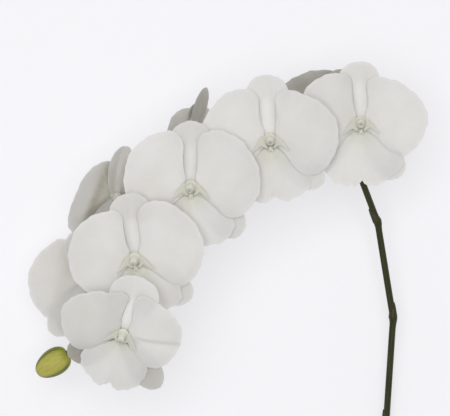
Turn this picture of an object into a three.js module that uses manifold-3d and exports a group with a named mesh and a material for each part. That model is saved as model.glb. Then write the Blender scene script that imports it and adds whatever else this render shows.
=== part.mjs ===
// A cut stem of a big-lipped white moth orchid, lying on a flat surface with its front blooms facing up.
// Units are millimetres and +Z is up. The origin is on the surface, under the middle of the stem's box.
// A flower spike lies in a long arch above the surface. Nine blooms stand on it in two ranks: the odd ones face
// up, and the even ones face down and outwards and rest on the surface. A green bud ends the spike.
import * as THREE from 'three';
import { mergeVertices } from 'three/addons/utils/BufferGeometryUtils.js';
import Module from 'manifold-3d';

const wasm = await Module();
wasm.setup();

// Driving dimensions of a bloom. Its outlines below are drawn for a bloom of the drawn span, petal to petal.
const DRAWN_SPAN = 100;
const BLOOM_SPAN = 100;
const BLADE_THICKNESS = 0.9;
const FACE_RADIUS = 260; // the bloom's face is a shallow dome
const SEPALS_BACK = 4; // how far the sepals lie behind the petals
const LIP_BACK = 1.7;
const PETAL_RISE = 2; // a petal swells forward from its claw over the rise's reach
const RISE_REACH = 12;
const CLAW_REACH = 22; // a petal's outward spread is complete at this distance from its claw
const INNER_REACH = 18; // and its spread and crown at this distance from its inner edge, which stays put
const PETAL_WAVE = 0.7;
const PETAL_WAVES = 3;
const LIP_RUFFLE = 1.6;
const LIP_RUFFLES = 5;
const RUFFLES_START = 12; // the lip's edge is smooth above this depth and fully ruffled from the next
const RUFFLES_FULL = 26;
const LIP_KEEL = 1;
const KEEL_WIDTH = 3;

// Driving dimensions of the spike, its pedicels and the bud.
const STEM_RADIUS = 2.5;
const TIP_RADIUS = 1.5;
const TAPER_START = 0.35; // the share of the spike that is as thick as its foot
const STRAIGHT_SHARE = 0.12; // an internode bends only in this share of its length at each end
const NODE_SWELLING = 0.28;
const NODE_LENGTH = 3.2;
const SHEATH_LENGTH = 12;
const BRACT_LENGTH = 6;
const BRACT_DROP = 1.6;
const PEDICEL_RADIUS = 1.35;
const OVARY_RADIUS = 2.1;
const PEDICEL_DEPTH = 9; // from a bloom's centre back to the end of its receptacle
const SEAT_GAP = 0.3; // between a pedicel's end and what it bears
const BUD_LENGTH = 26.5;
const BUD_RADIUS = 10.2;
const BUD_EGG = { lean: 0.8, blunt: 0.42 }; // below 1, they move its widest ring to its base and square its ends
const BUD_RIDGE = 0.05;

// How finely the blades and rods are faceted.
const PETAL_MESH = { rings: 3, around: 16 };
const SEPAL_MESH = { rings: 2, around: 12 };
const LIP_MESH = { rings: 3, around: 20 };
const LOBE_MESH = { rings: 2, around: 8 };
const COLUMN_SIDES = 8;
const ROD_SIDES = 8;
const PEDICEL_SIDES = 6;
const PEDICEL_STEPS = 6;
const CALLUS_SIDES = 8;
const RECEPTACLE_SIDES = 8;
const BUD_SIDES = 18;
const BUD_STEPS = 9;

// The right petal's outline from the claw round to the claw again, in the plane of the bloom.
const PETAL_OUTLINE = [
  [3.8, 0.5], [3.2, 5.5], [4.7, 13], [5, 23], [4.9, 31], [9.5, 37.8], [19, 40], [30, 36.3],
  [40.5, 28], [48, 15.5], [49.8, 1], [45.8, -12], [36, -22.5], [25, -23], [12.5, -12.5], [3.7, -3.8],
];
const PETAL_HEART = [8, 4];
// The right half of the lip's outline, from the claw down to the notch in its tip.
const LIP_HALF = [
  [0, -4.5], [3.2, -5.6], [8, -8.6], [19, -13.5], [28.5, -21.5],
  [29.5, -32], [22.5, -40], [11.5, -44.8], [4, -44.8],
];
const LIP_NOTCH = [0, -42.6];
const LIP_HEART = [0, -9];
// A sepal is an egg with its narrow end at the root, its length counted from the bloom's centre.
const DORSAL_SEPAL = { length: 46.5, halfWidth: 17.5 };
const LATERAL_SEPAL = { length: 50.5, halfWidth: 14 };
const SEPAL_ROOT = 1.5;
const SEPAL_HEART = 0.3; // its blade's rings shrink to this share of its length
const SEPAL_EGG = { middle: 0.88, lean: 0.26 };
// The receptacle behind the sepals narrows to the pedicel: radius and height, from the back to the front.
const RECEPTACLE = [[0, -9], [2.1, -9], [2.6, -6.5], [4, -4.6], [4, -2.2], [0, -2.2]];
// The lip's side lobes: small blades that stand beside the column, over the petals' claws.
const LOBE_OUTLINE = [
  [0.9, -7.4], [3, -4], [3.7, 0], [4.2, 2.4], [6.6, 0.6], [10, -3.6], [14, -9.8], [9.8, -7], [6.2, -4.9], [3, -7.2],
];
const LOBE_HEART = [5.6, -2.6];
const LOBE_REACH = 15;
const LOBE_LOW = 2;
const LOBE_RISE = 2.2;
// The callus, a knob between the side lobes: its place, and its radius and height from the foot up.
const CALLUS_AT = [0, -7.4];
const CALLUS = [[2.3, -2.2], [2.6, 1.8], [1.3, 3]];
// The column, a short club that leans down over the lip: height, lean, half width and half depth.
const COLUMN = [
  [-1.9, 0, 3.3, 3.3], [0.8, 0, 3.3, 3.3], [1.5, 0, 2.6, 2.6], [6.5, -0.7, 2.4, 2.4],
  [9.2, -1.6, 2.6, 2.3], [10.6, -2.3, 2.1, 1.7], [11.4, -2.8, 1, 0.8],
];
// A sheath: the share of its length, its sideways shift and its radius, from the node up.
const SHEATH = [[0, 0, 3.35], [0.3, 0.35, 3.1], [0.65, 1.1, 2.3], [1, 2.6, 0.45]];
// A bract under a pedicel: the share of its length, its half width and its half thickness.
const BRACT = [[-0.2, 1.5, 0.8], [0.4, 2.1, 1], [1, 0.35, 0.4]];

// Each bloom: its centre, the way it faces, the turn of its upright round that way in degrees, the outward
// spread of its left and right petals, the height of their crowns, the angle of its left and right lateral
// sepals from its dorsal one, its size, and the phase of its waves. Some give shares of a usual size: dorsal of
// that sepal's width, reaches of the two petals', and lip of its width and length. A bloom that rests touches
// the surface.
const BLOOMS = [
  {
    at: [98.8, 62.5, 85], faces: [-0.06, 0.03, 1], turn: 2, petals: [3, 5],
    crowns: [0.97, 0.84], laterals: [128, 147], size: 0.97, phase: 0.2,
  },
  {
    at: [89, 78.2, 33], faces: [0.17, 0.75, -0.64], turn: 16, petals: [0, 12],
    crowns: [1, 1], laterals: [136, 136], size: 0.96, phase: 1.1, rests: true,
  },
  {
    at: [32.5, 49.9, 95.5], faces: [-0.02, -0.06, 1], turn: 4, petals: [10, 8.5],
    crowns: [1, 0.87], laterals: [136, 136], size: 1, phase: 2.3,
  },
  {
    at: [-25.6, 51.2, 40], faces: [-0.84, 0.26, -0.48], turn: -9.5, petals: [31, -10],
    crowns: [0.6, 0.68], laterals: [136, 150], dorsal: 0.68, size: 0.9, phase: 3.4, rests: true,
  },
  {
    at: [-24.5, 15.9, 99], faces: [-0.1, -0.1, 1], turn: 1, petals: [0, 0],
    crowns: [1, 1], laterals: [136, 136], size: 1, phase: 4.6,
  },
  {
    at: [-83.8, 9.7, 38], faces: [-0.7, 0.42, -0.58], turn: -20, petals: [6, 5],
    crowns: [0.75, 0.93], laterals: [136, 136], dorsal: 0.74, size: 0.97, phase: 5.2, rests: true,
  },
  {
    at: [-64.8, -36, 101], faces: [-0.12, -0.2, 1], turn: 5, petals: [7, 0],
    crowns: [0.93, 1], laterals: [136, 136], size: 1, phase: 6.1,
  },
  {
    at: [-107.5, -58.5, 22], faces: [-0.45, -0.02, -0.89], turn: -6, petals: [0, 0],
    crowns: [1, 1], laterals: [136, 136], size: 0.92, phase: 7.7, rests: true,
  },
  {
    at: [-73.3, -90.1, 104], faces: [-0.1, -0.36, 0.93], turn: -18, petals: [2, -2],
    crowns: [0.72, 0.78], reaches: [1, 0.9], laterals: [136, 138], dorsal: 1.2, lip: [0.88, 1.1],
    size: 0.94, phase: 8.4,
  },
];

// The spike's nodes from the cut end to the tip. A node bears a sheath, on one side or the other, a bloom,
// or nothing. The bud stands on the last.
const SPIKE_NODES = [
  { at: [119, -239.7, 2.5] },
  { at: [123.1, -165.9, 10], sheath: 1 },
  { at: [127.7, -83.6, 20], sheath: -1 },
  { at: [114.9, -10.5, 33], sheath: 1 },
  { at: [99.5, 28, 44], bloom: 1 },
  { at: [90, 50.5, 52], bloom: 0 },
  { at: [50, 67.5, 60.5], bloom: 2 },
  { at: [6, 56, 63], bloom: 3 },
  { at: [-14.8, 44.4, 63], bloom: 4 },
  { at: [-50, 10, 61], bloom: 5 },
  { at: [-66.6, -10.4, 58], bloom: 6 },
  { at: [-84, -42, 54.5], bloom: 7 },
  { at: [-92.5, -66.6, 53], bloom: 8 },
  { at: [-105, -96, 51] },
];
const BUD = { base: [-117.6, -108.6, 50], tip: [-140.2, -123.4, 48] };

const scale = BLOOM_SPAN / DRAWN_SPAN;
const X = new THREE.Vector3(1, 0, 0);
const Y = new THREE.Vector3(0, 1, 0);
const Z = new THREE.Vector3(0, 0, 1);

const MATERIALS = {
  petal: new THREE.MeshStandardMaterial({ color: 0xf1f0ec, roughness: 0.55, metalness: 0 }),
  sepal: new THREE.MeshStandardMaterial({ color: 0xebeae3, roughness: 0.6, metalness: 0 }),
  lip: new THREE.MeshStandardMaterial({ color: 0xf0efe6, roughness: 0.5, metalness: 0 }),
  column: new THREE.MeshStandardMaterial({ color: 0xe6e6cf, roughness: 0.45, metalness: 0 }),
  stem: new THREE.MeshStandardMaterial({ color: 0x3a3d22, roughness: 0.5, metalness: 0 }),
  bud: new THREE.MeshStandardMaterial({ color: 0x9da03f, roughness: 0.5, metalness: 0 }),
};

// A closed mesh as a solid, turned right side out.
function solid(points, faces) {
  const vertProperties = new Float32Array(points.flatMap((p) => [p.x, p.y, p.z]));
  const make = (list) => new wasm.Manifold(new wasm.Mesh({
    numProp: 3, vertProperties, triVerts: new Uint32Array(list.flat()),
  }));
  const made = make(faces);
  return made.volume() > 0 ? made : make(faces.map(([a, b, c]) => [a, c, b]));
}

function geometryOf(made) {
  const mesh = made.getMesh();
  const geometry = new THREE.BufferGeometry();
  geometry.setAttribute('position', new THREE.BufferAttribute(mesh.vertProperties, mesh.numProp));
  geometry.setIndex(new THREE.BufferAttribute(mesh.triVerts, 1));
  return mergeVertices(geometry);
}

const join = (solids) => solids.reduce((a, b) => a.add(b));

const vector = (list) => new THREE.Vector3(...list);

// A thin blade. Rings of points shrink from the closed outline to a heart near its root, and the two
// faces share one set of triangles, so that they never cross. height gives the blade's middle surface.
function blade(outline, heart, height, { rings, around }, side = 1) {
  const places = [{ x: heart[0], y: heart[1], share: 0, turn: 0 }];
  for (let ring = 1; ring <= rings; ring++)
    for (let step = 0; step < around; step++) {
      const share = ring / rings;
      const turn = step / around;
      const edge = outline(turn);
      places.push({
        x: heart[0] + (edge[0] - heart[0]) * share,
        y: heart[1] + (edge[1] - heart[1]) * share,
        share,
        turn,
      });
    }
  const one = (ring, step) => (ring ? 1 + (ring - 1) * around + (step % around) : 0);
  const front = [];
  for (let ring = 0; ring < rings; ring++)
    for (let step = 0; step < around; step++) {
      if (ring) front.push([one(ring, step), one(ring + 1, step), one(ring, step + 1)]);
      front.push([one(ring, step + 1), one(ring + 1, step), one(ring + 1, step + 1)]);
    }
  const count = places.length;
  const back = front.map(([a, b, c]) => [a + count, c + count, b + count]);
  const rim = [];
  for (let step = 0; step < around; step++) {
    const [a, b] = [one(rings, step), one(rings, step + 1)];
    rim.push([a, a + count, b], [b, a + count, b + count]);
  }
  const faced = (offset) => places.map((p) => new THREE.Vector3(
    side * p.x * scale, p.y * scale, height(p.x, p.y, p.share, p.turn) * scale + offset,
  ));
  const half = BLADE_THICKNESS / 2;
  return solid([...faced(half), ...faced(-half)], [...front, ...back, ...rim]);
}

// A smooth closed outline through a few points.
function smooth(points) {
  const curve = new THREE.CatmullRomCurve3(
    points.map(([x, y]) => new THREE.Vector3(x, y, 0)), true, 'catmullrom', 0.5,
  );
  return (turn) => curve.getPoint(turn).toArray();
}

function turned([x, y], degrees) {
  const a = THREE.MathUtils.degToRad(degrees);
  return [x * Math.cos(a) - y * Math.sin(a), x * Math.sin(a) + y * Math.cos(a)];
}

const fall = (x, y) => -(x * x + y * y) / (2 * FACE_RADIUS);

// A petal spreads outwards from its inner edge. Its crown, the part above the bloom's centre, may be low, and
// its reach across short.
function petal(side, outwards, crown, phase, reach = 1) {
  const swung = ([x, y]) => {
    const out = Math.min(1, x / INNER_REACH);
    const swing = outwards * out * Math.min(1, Math.hypot(x, y) / CLAW_REACH);
    return turned([x * reach, y > 0 ? y * (1 - (1 - crown) * out) : y], -swing);
  };
  const edge = smooth(PETAL_OUTLINE);
  const outline = (turn) => swung(edge(turn));
  const height = (x, y, share, turn) => {
    const rise = PETAL_RISE * (1 - Math.exp(-(x * x + y * y) / RISE_REACH ** 2));
    return fall(x, y) + rise + PETAL_WAVE * share ** 3 * Math.sin(2 * Math.PI * PETAL_WAVES * turn + phase);
  };
  return blade(outline, swung(PETAL_HEART), height, PETAL_MESH, side);
}

function sepal({ length, halfWidth }, turn) {
  const outline = (share) => {
    const angle = 2 * Math.PI * share;
    const up = SEPAL_ROOT + (length - SEPAL_ROOT) * (1 - Math.cos(angle)) / 2;
    const across = halfWidth * Math.sin(angle) * (SEPAL_EGG.middle - SEPAL_EGG.lean * Math.cos(angle));
    return turned([across, up], -turn);
  };
  const height = (x, y) => fall(x, y) - SEPALS_BACK;
  return blade(outline, turned([0, length * SEPAL_HEART], -turn), height, SEPAL_MESH);
}

function receptacle() {
  const profile = RECEPTACLE.map(([radius, high]) => new THREE.Vector2(radius, high).multiplyScalar(scale));
  const lathe = new THREE.LatheGeometry(profile, RECEPTACLE_SIDES);
  lathe.rotateX(Math.PI / 2);
  lathe.deleteAttribute('normal');
  lathe.deleteAttribute('uv');
  const merged = mergeVertices(lathe, 1e-4);
  const at = merged.attributes.position;
  const points = Array.from({ length: at.count }, (_, i) => new THREE.Vector3().fromBufferAttribute(at, i));
  const index = merged.index.array;
  const faces = [];
  for (let i = 0; i < index.length; i += 3) {
    const [a, b, c] = [index[i], index[i + 1], index[i + 2]];
    if (a !== b && b !== c && c !== a) faces.push([a, b, c]);
  }
  return solid(points, faces);
}

// The three sepals are one piece with the receptacle.
function calyx([left, right], dorsal = 1) {
  const { length, halfWidth } = DORSAL_SEPAL;
  return join([
    receptacle(),
    sepal({ length, halfWidth: halfWidth * dorsal }, 0),
    sepal(LATERAL_SEPAL, right),
    sepal(LATERAL_SEPAL, -left),
  ]);
}

// The lip is a broad blade with a ruffled, notched edge, and carries the callus and the side lobes.
function lip(phase, [width, length] = [1, 1]) {
  const left = LIP_HALF.slice(1).reverse().map(([x, y]) => [-x, y]);
  const outline = smooth([...LIP_HALF, LIP_NOTCH, ...left].map(([x, y]) => [x * width, y * length]));
  const height = (x, y, share, turn) => {
    const ruffled = share ** 4 * THREE.MathUtils.smoothstep(-y, RUFFLES_START, RUFFLES_FULL);
    const ruffle = LIP_RUFFLE * (0.5 + 0.5 * Math.sin(2 * Math.PI * LIP_RUFFLES * turn + phase));
    const keel = LIP_KEEL * Math.exp(-((x / KEEL_WIDTH) ** 2)) * (1 - share);
    return fall(x, y) - LIP_BACK + ruffled * ruffle + keel;
  };
  return join([
    blade(outline, LIP_HEART, height, LIP_MESH),
    callus(),
    sideLobe(1),
    sideLobe(-1),
  ]);
}

function sideLobe(side) {
  const height = (x) => LOBE_LOW + LOBE_RISE * (x / LOBE_REACH) ** 2;
  return blade(smooth(LOBE_OUTLINE), LOBE_HEART, height, LOBE_MESH, side);
}

function callus() {
  const rings = CALLUS.map(([radius, high]) => {
    const centre = vector([...CALLUS_AT, high]).multiplyScalar(scale);
    return ring(centre, X, Y, CALLUS_SIDES, () => radius * scale);
  });
  return loft(rings);
}

function column() {
  const rings = COLUMN.map(([high, lean, wide, deep]) => {
    const centre = vector([0, lean, high]).multiplyScalar(scale);
    return ring(centre, X.clone().multiplyScalar(wide), Y.clone().multiplyScalar(deep), COLUMN_SIDES, () => scale);
  });
  return loft(rings);
}

// A closed loft through rings of points, from one end to the other.
function loft(rings) {
  const sides = rings[0].length;
  const points = rings.flat();
  const faces = [];
  for (let i = 0; i + 1 < rings.length; i++)
    for (let j = 0; j < sides; j++) {
      const [a, b] = [i * sides + j, i * sides + ((j + 1) % sides)];
      faces.push([a, a + sides, b], [b, a + sides, b + sides]);
    }
  const last = (rings.length - 1) * sides;
  for (let j = 1; j + 1 < sides; j++) {
    faces.push([0, j, j + 1], [last, last + j + 1, last + j]);
  }
  return solid(points, faces);
}

function ring(centre, across, up, sides, radiusAt) {
  return Array.from({ length: sides }, (_, i) => {
    const angle = 2 * Math.PI * i / sides;
    const radius = radiusAt(angle);
    return centre.clone()
      .addScaledVector(across, radius * Math.cos(angle))
      .addScaledVector(up, radius * Math.sin(angle));
  });
}

// A rod along a curve, with a ring at each given place and a radius that may change along it.
function rod(places, sides, radiusAt) {
  let up = Z.clone();
  return loft(places.map(({ point, tangent }, i) => {
    up = up.clone().addScaledVector(tangent, -up.dot(tangent)).normalize();
    const across = new THREE.Vector3().crossVectors(tangent, up);
    const radius = radiusAt(point, i / (places.length - 1));
    return ring(point, across, up, sides, () => radius);
  }));
}

const placesOn = (curve, shares) => shares.map((t) => ({ point: curve.getPoint(t), tangent: curve.getTangent(t) }));
const steps = (count) => Array.from({ length: count + 1 }, (_, i) => i / count);

// The spike. Its line is straight between its nodes and turns at them.
const nodePoints = SPIKE_NODES.map(({ at }) => vector(at));
const bends = nodePoints.flatMap((point, i) => (i + 1 < nodePoints.length ? [
  point,
  point.clone().lerp(nodePoints[i + 1], STRAIGHT_SHARE),
  point.clone().lerp(nodePoints[i + 1], 1 - STRAIGHT_SHARE),
] : [point]));
const spikeLine = new THREE.CatmullRomCurve3(bends, false, 'centripetal');
const innerNodes = nodePoints.slice(1, -1);
const growthAt = (i) => nodePoints[i + 1].clone().sub(nodePoints[i]).normalize();

function stemRadius(point, share) {
  const taper = Math.max(0, share - TAPER_START) / (1 - TAPER_START);
  const near = Math.min(...innerNodes.map((node) => node.distanceTo(point)));
  const swelling = 1 + NODE_SWELLING * Math.exp(-((near / NODE_LENGTH) ** 2));
  return (STEM_RADIUS + (TIP_RADIUS - STEM_RADIUS) * taper) * swelling;
}

// Each internode has two steps in its bend at either end and one along its straight middle.
function stemRod() {
  const pieces = bends.length - 1;
  const shares = bends.slice(1).flatMap((_, i) => {
    const straight = i % 3 === 1;
    return straight ? [i / pieces] : [i / pieces, (i + 0.5) / pieces];
  });
  return rod(placesOn(spikeLine, [...shares, 1]), ROD_SIDES, stemRadius);
}

// A sheath clasps the stem above a node and comes to a point on one side of it.
function sheath(i, side) {
  const axis = growthAt(i);
  const across = Z.clone().cross(axis).normalize().multiplyScalar(side);
  const up = axis.clone().cross(across);
  const rings = SHEATH.map(([share, shift, radius]) => {
    const centre = nodePoints[i].clone()
      .addScaledVector(axis, share * SHEATH_LENGTH)
      .addScaledVector(across, shift);
    return ring(centre, across, up, ROD_SIDES, () => radius);
  });
  return loft(rings);
}

// A small scale under a pedicel.
function bract(root, direction) {
  const across = direction.clone().cross(Z).normalize();
  const up = across.clone().cross(direction);
  const rings = BRACT.map(([share, wide, thick]) => {
    const centre = root.clone()
      .addScaledVector(direction, share * BRACT_LENGTH)
      .addScaledVector(up, -BRACT_DROP);
    return ring(centre, across.clone().multiplyScalar(wide), up.clone().multiplyScalar(thick), PEDICEL_SIDES, () => 1);
  });
  return loft(rings);
}

// A pedicel leaves the spike along its growth and ends square on the back of its bloom or bud.
function pedicel(root, growth, end, facing) {
  const reach = root.distanceTo(end);
  const leaving = end.clone().sub(root).normalize().addScaledVector(growth, 0.5).normalize();
  const curve = new THREE.CubicBezierCurve3(
    root,
    root.clone().addScaledVector(leaving, reach * 0.35),
    end.clone().addScaledVector(facing, -reach * 0.42),
    end,
  );
  const radiusAt = (_, share) => {
    const swelling = THREE.MathUtils.smoothstep(share, 0.35, 0.9);
    return THREE.MathUtils.lerp(PEDICEL_RADIUS, OVARY_RADIUS, swelling);
  };
  return join([
    rod(placesOn(curve, steps(PEDICEL_STEPS)), PEDICEL_SIDES, radiusAt),
    bract(root, leaving),
  ]);
}

function bloomPedicel(i, group) {
  const facing = Z.clone().transformDirection(group.matrixWorld);
  const seat = group.localToWorld(new THREE.Vector3(0, 0, -PEDICEL_DEPTH * scale));
  return pedicel(nodePoints[i], growthAt(i), seat.addScaledVector(facing, -SEAT_GAP), facing);
}

function budPedicel() {
  const last = nodePoints.length - 1;
  const root = nodePoints[last].clone().lerp(nodePoints[last - 1], 0.04);
  const base = vector(BUD.base);
  const facing = vector(BUD.tip).sub(base).normalize();
  return pedicel(root, growthAt(last - 1), base.addScaledVector(facing, -SEAT_GAP), facing);
}

function spike(blooms) {
  const parts = [stemRod(), budPedicel()];
  SPIKE_NODES.forEach((node, i) => {
    if (node.sheath) parts.push(sheath(i, node.sheath));
    if (node.bloom !== undefined) parts.push(bloomPedicel(i, blooms[node.bloom]));
  });
  return join(parts);
}

// The bud is an egg with a small beak and three blunt ridges where its sepals meet.
function bud() {
  const base = vector(BUD.base);
  const axis = vector(BUD.tip).sub(base).normalize();
  const across = Z.clone().cross(axis).normalize();
  const up = axis.clone().cross(across);
  const rings = steps(BUD_STEPS).map((share) => {
    const round = Math.sin(Math.PI * (0.03 + 0.95 * share) ** BUD_EGG.lean) ** BUD_EGG.blunt;
    const centre = base.clone().addScaledVector(axis, share * BUD_LENGTH);
    const radiusAt = (angle) => BUD_RADIUS * round * (1 + BUD_RIDGE * Math.cos(3 * angle));
    return ring(centre, across, up, BUD_SIDES, radiusAt);
  });
  return loft(rings);
}

// A bloom's group stands at its centre. Its own +Z is the way it faces, and its own +Y is its dorsal sepal's.
function bloomGroup({ at, faces, turn, size }) {
  const facing = vector(faces).normalize();
  const up = Y.clone().addScaledVector(facing, -Y.dot(facing)).normalize();
  const right = up.clone().cross(facing);
  const group = new THREE.Group();
  group.quaternion.setFromRotationMatrix(new THREE.Matrix4().makeBasis(right, up, facing));
  group.rotateZ(THREE.MathUtils.degToRad(turn));
  group.scale.setScalar(size);
  group.position.set(...at);
  return group;
}

const boxOf = (object) => new THREE.Box3().setFromObject(object, true);

function named(name, made, material) {
  const mesh = new THREE.Mesh(geometryOf(made), material);
  mesh.name = name;
  return mesh;
}

function bloomOf(bloom, i) {
  const { petals, crowns, reaches = [1, 1], laterals, dorsal, phase } = bloom;
  const name = `bloom_${i + 1}`;
  const group = bloomGroup(bloom);
  group.add(
    named(`${name}_sepals`, calyx(laterals, dorsal), MATERIALS.sepal),
    named(`${name}_petal_left`, petal(-1, petals[0], crowns[0], phase, reaches[0]), MATERIALS.petal),
    named(`${name}_petal_right`, petal(1, petals[1], crowns[1], phase + 1.7, reaches[1]), MATERIALS.petal),
    named(`${name}_lip`, lip(phase, bloom.lip), MATERIALS.lip),
    named(`${name}_column`, column(), MATERIALS.column),
  );
  group.updateMatrixWorld(true);
  if (bloom.rests) group.position.z -= boxOf(group).min.z;
  group.updateMatrixWorld(true);
  return group;
}

const spray = new THREE.Group();
const blooms = BLOOMS.map(bloomOf);
spray.add(...blooms);
spray.add(named('flower_spike', spike(blooms), MATERIALS.stem));
spray.add(named('bud', bud(), MATERIALS.bud));
spray.updateMatrixWorld(true);

const box = boxOf(spray);
const middle = box.getCenter(new THREE.Vector3());
spray.position.set(-middle.x, -middle.y, -box.min.z);
spray.updateMatrixWorld(true);

export default spray;
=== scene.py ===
# %% [markdown]
# # A cut stem of white moth orchid, lying on a table
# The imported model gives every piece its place, its size and its rough form. This lesson dresses it: each plain
# solid gets a finer piece that stands in the same place, and a finish made of nodes. The stem repeats a few forms
# with small changes, which suits a script: each rule is written once, and every bloom has its own numbers. Shapes
# are drawn in millimetres in their own upright frame, and one matrix puts each of them in its place in metres.

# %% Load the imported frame
import math

import bmesh
import bpy
from mathutils import Matrix, Vector


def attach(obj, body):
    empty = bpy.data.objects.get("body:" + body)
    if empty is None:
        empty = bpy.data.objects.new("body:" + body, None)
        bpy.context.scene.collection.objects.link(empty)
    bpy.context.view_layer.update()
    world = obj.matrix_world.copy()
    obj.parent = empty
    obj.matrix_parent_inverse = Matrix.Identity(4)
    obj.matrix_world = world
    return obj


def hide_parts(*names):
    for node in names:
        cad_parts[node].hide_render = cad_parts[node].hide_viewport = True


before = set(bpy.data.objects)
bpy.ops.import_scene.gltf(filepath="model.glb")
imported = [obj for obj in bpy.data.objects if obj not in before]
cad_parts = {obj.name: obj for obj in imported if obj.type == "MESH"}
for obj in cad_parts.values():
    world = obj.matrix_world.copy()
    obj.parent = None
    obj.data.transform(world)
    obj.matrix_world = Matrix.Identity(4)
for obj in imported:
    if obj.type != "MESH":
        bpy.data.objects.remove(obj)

MM = 0.001
FULL_TURN = 2 * math.pi
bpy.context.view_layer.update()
print("nodes in the frame:", len(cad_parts))

# %% [markdown]
# ## The camera
# The stem lies down, and the camera looks straight down on it from a metre and a half above the blooms. An
# orthographic camera would give the outlines too, but a long lens at a real distance also shows that the front
# blooms are nearer. The lens follows from the picture's width there. Drawn places count from the picture's middle,
# and MIDDLE moves them to the frame's origin, which lies under the middle of the stem's box.

# %% Camera
CAMERA_HEIGHT = 1500  # above the plane that the picture's width is measured in
PICTURE_HEIGHT = 60  # that plane's height over the table
PICTURE_WIDTH = 333
SENSOR = 36
MIDDLE = Vector((0.1587, 66.3214, 0))

scene = bpy.context.scene
camera = bpy.data.objects.new("camera", bpy.data.cameras.new("camera"))
camera.data.sensor_width = SENSOR
camera.data.lens = SENSOR * CAMERA_HEIGHT / PICTURE_WIDTH
camera.location = (MIDDLE + Vector((0, 0, PICTURE_HEIGHT + CAMERA_HEIGHT))) * MM
scene.collection.objects.link(camera)
scene.camera = camera
print("lens:", round(camera.data.lens, 1), "mm")

# %% [markdown]
# ## Node trees as expressions
# A shape or a finish made of nodes is a formula. Its nodes could be added and linked one by one, at three or four
# lines for each sign. Here a small class wraps a socket, so that an ordinary Python expression on it adds the Math
# nodes, which shader trees and Geometry Nodes trees share, and the script reads as the formula does. A sign's
# reflected form serves where a number stands first.


# %% A socket in an expression
class Wire:
    """A socket that can be used in arithmetic."""

    def __init__(self, nodes, socket):
        self.nodes, self.socket = nodes, socket

    def __neg__(self):
        return self.nodes.math("MULTIPLY", self, -1.0)

    def __abs__(self):
        return self.nodes.math("ABSOLUTE", self)


def sign_method(operation, reflected):
    def method(self, other):
        return self.nodes.math(operation, *((other, self) if reflected else (self, other)))

    return method


SIGNS = {"add": "ADD", "sub": "SUBTRACT", "mul": "MULTIPLY", "truediv": "DIVIDE", "pow": "POWER"}
for sign, operation in SIGNS.items():
    setattr(Wire, f"__{sign}__", sign_method(operation, False))
    setattr(Wire, f"__r{sign}__", sign_method(operation, True))
print("a socket takes + - * / **, a minus sign and abs")

# %% [markdown]
# ## One method for every other node
# Each kind of node could have a helper of its own, but they differ only in their type, their settings, and the
# values or links of their sockets. So one method takes those three, and finds a socket by identifier or by name.
# Short methods stand for the few nodes that come back often.


# %% A tree of nodes
class Nodes:
    """One node tree."""

    def __init__(self, tree):
        self.tree = tree

    def add(self, kind, settings=None, sockets=None, out=0):
        node = self.tree.nodes.new(kind)
        for name, value in (settings or {}).items():
            setattr(node, name, value)
        for name, value in (sockets or {}).items():
            socket = self.pick(node.inputs, name)
            if isinstance(value, Wire):
                self.tree.links.new(value.socket, socket)
            else:
                socket.default_value = value
        return Wire(self, self.pick(node.outputs, out))

    @staticmethod
    def pick(sockets, name):
        if isinstance(name, int):
            return sockets[name]
        named = [s for s in sockets if s.identifier == name]
        return named[0] if named else sockets[name]

    def math(self, operation, *values):
        return self.add("ShaderNodeMath", {"operation": operation}, dict(enumerate(values)))

    def smooth(self, value, low, high):
        """0 below low, 1 above high, and an even rise between them."""
        return self.add(
            "ShaderNodeMapRange", {"interpolation_type": "SMOOTHSTEP"},
            {"Value": value, "From Min": low, "From Max": high},
        )

    def noise(self, vector, scale, detail=2.0, rough=0.5, seed=0.0):
        """Noise from about 0 to 1 around 0.5."""
        return self.add(
            "ShaderNodeTexNoise", {"noise_dimensions": "4D"},
            {"Vector": vector, "W": seed, "Scale": scale, "Detail": detail, "Roughness": rough},
        )

    def split(self, vector):
        node = self.add("ShaderNodeSeparateXYZ", None, {0: vector}).socket.node
        return [Wire(self, out) for out in node.outputs]

    def join(self, x, y, z=0.0):
        return self.add("ShaderNodeCombineXYZ", None, {0: x, 1: y, 2: z})


print("node helpers: add, math, smooth, noise, split, join")

# %% [markdown]
# ## Geometry Nodes trees with named sizes
# With its numbers fixed inside, a tree would make one shape only. With an input for each size and one for the
# finish, it makes every blade or every rod. A tree makes its instances real and sets the finish last, so that what
# comes out is a plain mesh that can be read back.


# %% A shaping tree
class Shaping(Nodes):
    """A Geometry Nodes tree with named sizes, which ends in Realize Instances and Set Material."""

    def __init__(self, name, sizes):
        super().__init__(bpy.data.node_groups.new(name, "GeometryNodeTree"))
        face = self.tree.interface
        for way in ("INPUT", "OUTPUT"):
            face.new_socket("Geometry", in_out=way, socket_type="NodeSocketGeometry")
        for size, value in sizes.items():
            socket = face.new_socket(size, in_out="INPUT", socket_type="NodeSocketFloat")
            socket.default_value = value
        face.new_socket("Finish", in_out="INPUT", socket_type="NodeSocketMaterial")
        entry = self.tree.nodes.new("NodeGroupInput")
        self.inputs = {socket.name: Wire(self, socket) for socket in entry.outputs if socket.name}

    def __getitem__(self, name):
        return self.inputs[name]

    def carried(self, name):
        return self.add("GeometryNodeInputNamedAttribute", {"data_type": "FLOAT"}, {"Name": name})

    def end(self, geometry):
        real = self.add("GeometryNodeRealizeInstances", None, {0: geometry})
        made = self.add("GeometryNodeSetMaterial", None, {"Geometry": real, "Material": self["Finish"]})
        out = self.tree.nodes.new("NodeGroupOutput")
        self.tree.links.new(made.socket, out.inputs[0])


print("shaping trees can be built")

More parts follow.
